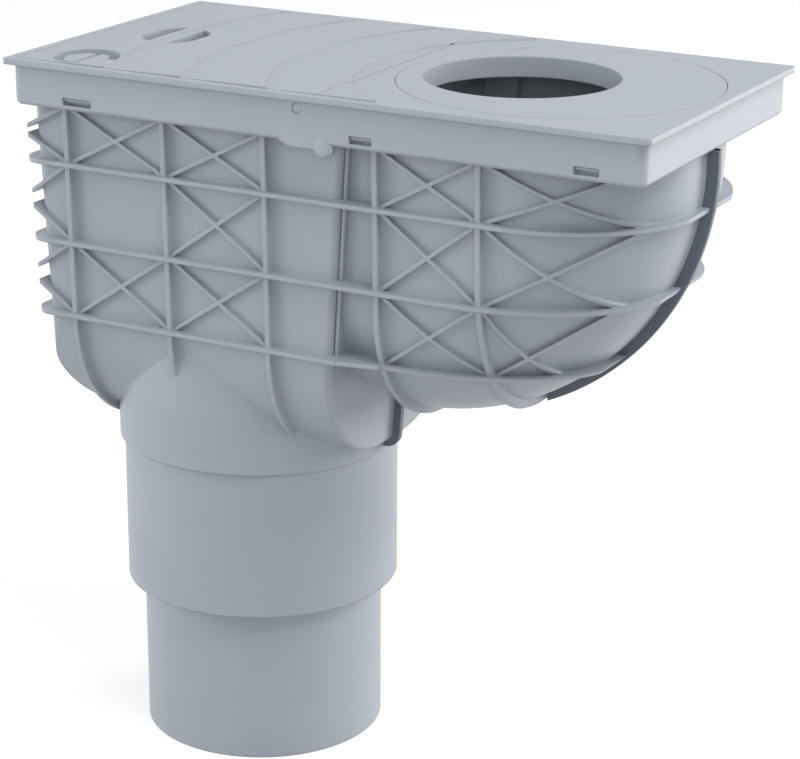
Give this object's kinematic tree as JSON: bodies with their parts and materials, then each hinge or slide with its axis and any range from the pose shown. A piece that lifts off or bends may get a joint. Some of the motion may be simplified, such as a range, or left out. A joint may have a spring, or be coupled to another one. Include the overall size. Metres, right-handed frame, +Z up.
{
  "type": "rainwater leaf trap",
  "caption": "Ribbed drain body that takes a rainwater downpipe through a turning inlet disc, catches leaves in a lift-out basket and shuts out odour with a gravity flap.",
  "frame": {"origin": "centre of the outlet spigot's lower end", "axes": "+Z up along the spigot, +X from the outlet towards the inlet bowl, +Y across the lid"},
  "size_m": [0.3, 0.155, 0.3186],
  "materials": {
    "body_moulding": "satin",
    "lid_moulding": "satin",
    "inner_moulding": "satin"
  },
  "bodies": {
    "drain": {"drain_body": "body_moulding", "lid_frame": "lid_moulding", "flap_frame": "inner_moulding", "leaf_basket": "inner_moulding"},
    "cover": {"access_cover": "lid_moulding"},
    "lock": {"cover_lock": "lid_moulding"},
    "disc": {"inlet_disc": "lid_moulding"},
    "flap": {"odour_flap": "inner_moulding"}
  },
  "joints": [
    {"name": "cover_hinge", "type": "hinge", "parent": "drain", "child": "cover", "pos_m": [0.0647, 0, 0.312], "axis": [0, 1, 0], "range_deg": [0, 95]},
    {"name": "lock_turn", "type": "hinge", "parent": "cover", "child": "lock", "pos_m": [-0.0505, -0.0566, 0.315], "axis": [0, 0, 1], "range_deg": [0, 90]},
    {"name": "inlet_swivel", "type": "hinge", "parent": "drain", "child": "disc", "pos_m": [0.1465, 0, 0.316], "axis": [0, 0, 1], "continuous": true},
    {"name": "flap_swing", "type": "hinge", "parent": "drain", "child": "flap", "pos_m": [0.07389, 0, 0.27947], "axis": [0, 1, 0], "range_deg": [0, 50]}
  ]
}
